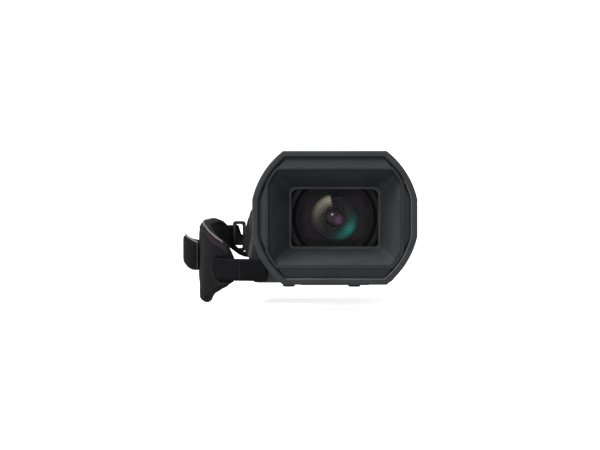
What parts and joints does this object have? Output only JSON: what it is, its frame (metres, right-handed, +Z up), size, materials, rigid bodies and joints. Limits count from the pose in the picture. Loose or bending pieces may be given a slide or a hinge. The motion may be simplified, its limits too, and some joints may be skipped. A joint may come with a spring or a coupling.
{
  "type": "camcorder",
  "caption": "Handheld camcorder with a large rectangular lens hood, ribbed control rings, fold-out display, tilting viewfinder, rear battery and a padded hand strap.",
  "frame": {"origin": "centre of the tripod socket's mouth on the base plate, straight under the lens axis", "axes": "+X to the display side, +Y to the viewfinder end so the lens looks along -Y, +Z up"},
  "size_m": [0.1784, 0.262, 0.1134],
  "materials": {
    "shell_plastic": "fine matt texture",
    "hood_plastic": "satin",
    "dark_plastic": "matt",
    "gloss_black": "gloss",
    "lens_metal": "satin black anodised",
    "rubber_black": "matt",
    "coated_glass": "coated",
    "screen_glass": "gloss",
    "steel": "brushed",
    "brass": "machined",
    "board": "satin",
    "pad_fabric": "woven, padded",
    "webbing": "ribbed webbing",
    "lever_plastic": "satin",
    "record_red": "satin",
    "aluminium": "satin"
  },
  "bodies": {
    "camera": {"lens_barrel": "lens_metal", "lens_ring": "lens_metal", "front_glass": "coated_glass", "second_glass": "coated_glass", "rear_glass": "coated_glass", "guide_rods": "steel", "iris_unit": "dark_plastic", "front_bezel": "shell_plastic", "left_shell": "shell_plastic", "right_shell": "shell_plastic", "top_cover": "shell_plastic", "rear_frame": "shell_plastic", "evf_cradle": "dark_plastic", "grip_pad": "rubber_black", "base_plate": "aluminium", "case_screws": "steel", "tripod_bush": "brass", "rubber_feet": "rubber_black", "accessory_shoe": "steel", "mic_grilles": "dark_plastic", "circuit_boards": "board", "battery_contacts": "brass", "connector_sockets": "dark_plastic", "strap_lugs": "dark_plastic"},
    "lens_hood": {"hood_shell": "hood_plastic", "hood_frame": "hood_plastic"},
    "hood_button": {"hood_release": "dark_plastic"},
    "cover_lever": {"shutter_lever": "lever_plastic"},
    "cover_upper": {"upper_shutter": "dark_plastic"},
    "cover_lower": {"lower_shutter": "dark_plastic"},
    "focus_control": {"focus_ring": "lens_metal", "focus_grip": "rubber_black"},
    "zoom_control": {"zoom_ring": "lens_metal", "zoom_grip": "rubber_black"},
    "zoom_group": {"zoom_carriage": "lens_metal", "zoom_glass": "coated_glass"},
    "display": {"lcd_arm": "dark_plastic", "lcd_frame": "shell_plastic", "lcd_glass": "screen_glass"},
    "viewfinder": {"evf_body": "shell_plastic", "evf_eyecup": "rubber_black"},
    "eye_slider": {"diopter_slider": "dark_plastic"},
    "eye_lens": {"evf_glass": "coated_glass"},
    "button_one": {"user_button_1": "dark_plastic"},
    "button_two": {"user_button_2": "dark_plastic"},
    "menu_wheel": {"menu_dial": "dark_plastic"},
    "filter_switch": {"nd_switch": "dark_plastic"},
    "rec_button": {"record_button": "record_red"},
    "power_slider": {"power_switch": "dark_plastic"},
    "latch_slider": {"battery_latch": "dark_plastic"},
    "rocker": {"zoom_rocker": "gloss_black"},
    "socket_door": {"jack_door": "dark_plastic"},
    "media_door": {"card_door": "shell_plastic"},
    "battery": {"battery_pack": "dark_plastic"},
    "hand_strap": {"strap_pad": "pad_fabric", "strap_cover": "pad_fabric", "strap_belt": "webbing", "strap_flap": "webbing", "strap_rings": "gloss_black"}
  },
  "joints": [
    {"name": "hood_slide", "type": "slide", "parent": "camera", "child": "lens_hood", "axis": [0, -1, 0], "range_m": [0, 0.06]},
    {"name": "hood_button_push", "type": "slide", "parent": "lens_hood", "child": "hood_button", "axis": [-1, 0, 0], "range_m": [0, 0.0015], "stiffness_N_per_m": 900},
    {"name": "cover_lever_slide", "type": "slide", "parent": "lens_hood", "child": "cover_lever", "axis": [0, 0, 1], "range_m": [0, 0.012]},
    {"name": "upper_shutter_slide", "type": "slide", "parent": "lens_hood", "child": "cover_upper", "axis": [0, 0, -1], "range_m": [0, 0.0218]},
    {"name": "lower_shutter_slide", "type": "slide", "parent": "lens_hood", "child": "cover_lower", "axis": [0, 0, 1], "range_m": [0, 0.0218]},
    {"name": "focus_turn", "type": "hinge", "parent": "camera", "child": "focus_control", "pos_m": [0, -0.0695, 0.052], "axis": [0, 1, 0], "continuous": true},
    {"name": "zoom_turn", "type": "hinge", "parent": "camera", "child": "zoom_control", "pos_m": [0, -0.048, 0.052], "axis": [0, 1, 0], "range_deg": [0, 100]},
    {"name": "zoom_group_slide", "type": "slide", "parent": "camera", "child": "zoom_group", "axis": [0, 1, 0], "range_m": [0, 0.0161]},
    {"name": "display_swing", "type": "hinge", "parent": "camera", "child": "display", "pos_m": [0.0495, -0.024, 0.0525], "axis": [0, 0, -1], "range_deg": [0, 90]},
    {"name": "viewfinder_tilt", "type": "hinge", "parent": "camera", "child": "viewfinder", "pos_m": [0.002, 0.049, 0.084], "axis": [1, 0, 0], "range_deg": [0, 60]},
    {"name": "diopter_slide", "type": "slide", "parent": "viewfinder", "child": "eye_slider", "axis": [1, 0, 0], "range_m": [-0.003, 0.003]},
    {"name": "eye_lens_slide", "type": "slide", "parent": "viewfinder", "child": "eye_lens", "axis": [0, 1, 0], "range_m": [-0.00101, 0.00101]},
    {"name": "button_one_push", "type": "slide", "parent": "camera", "child": "button_one", "axis": [-1, 0, 0], "range_m": [0, 0.0008], "stiffness_N_per_m": 1200},
    {"name": "button_two_push", "type": "slide", "parent": "camera", "child": "button_two", "axis": [-1, 0, 0], "range_m": [0, 0.0008], "stiffness_N_per_m": 1200},
    {"name": "menu_wheel_turn", "type": "hinge", "parent": "camera", "child": "menu_wheel", "pos_m": [0.047, 0.038, 0.0175], "axis": [1, 0, 0], "continuous": true},
    {"name": "filter_switch_slide", "type": "slide", "parent": "camera", "child": "filter_switch", "axis": [0, 1, 0], "range_m": [0, 0.008]},
    {"name": "rec_button_push", "type": "slide", "parent": "camera", "child": "rec_button", "axis": [0, -1, 0], "range_m": [0, 0.0012], "stiffness_N_per_m": 1200},
    {"name": "power_slide", "type": "slide", "parent": "camera", "child": "power_slider", "axis": [1, 0, 0], "range_m": [0, 0.005]},
    {"name": "battery_latch_slide", "type": "slide", "parent": "camera", "child": "latch_slider", "axis": [0, 0, 1], "range_m": [0, 0.005], "stiffness_N_per_m": 300},
    {"name": "zoom_rocker_turn", "type": "hinge", "parent": "camera", "child": "rocker", "pos_m": [-0.05, 0.014, 0.0665], "axis": [1, 0, 0], "range_deg": [-8, 8], "stiffness_Nm_per_rad": 0.6},
    {"name": "socket_door_turn", "type": "hinge", "parent": "camera", "child": "socket_door", "pos_m": [-0.0551, 0.0888, 0.021], "axis": [0, 0, 1], "range_deg": [0, 100]},
    {"name": "media_door_turn", "type": "hinge", "parent": "camera", "child": "media_door", "pos_m": [0.0411, 0.0908, 0.049], "axis": [0, 0, -1], "range_deg": [0, 100]},
    {"name": "battery_slide", "type": "slide", "parent": "camera", "child": "battery", "axis": [0, 1, 0], "range_m": [0, 0.05]},
    {"name": "hand_strap_swing", "type": "hinge", "parent": "camera", "child": "hand_strap", "pos_m": [-0.065, 0.0305, 0.025], "axis": [-0.1051, 0.972, 0.2102], "range_deg": [0, 35]}
  ],
  "couplings": [
    {"joint": "upper_shutter_slide", "follows": "cover_lever_slide", "ratio": 1.8083},
    {"joint": "lower_shutter_slide", "follows": "cover_lever_slide", "ratio": 1.8083},
    {"joint": "zoom_group_slide", "follows": "zoom_turn", "m_per_rad": 0.0091673},
    {"joint": "eye_lens_slide", "follows": "diopter_slide", "ratio": 0.33333}
  ]
}
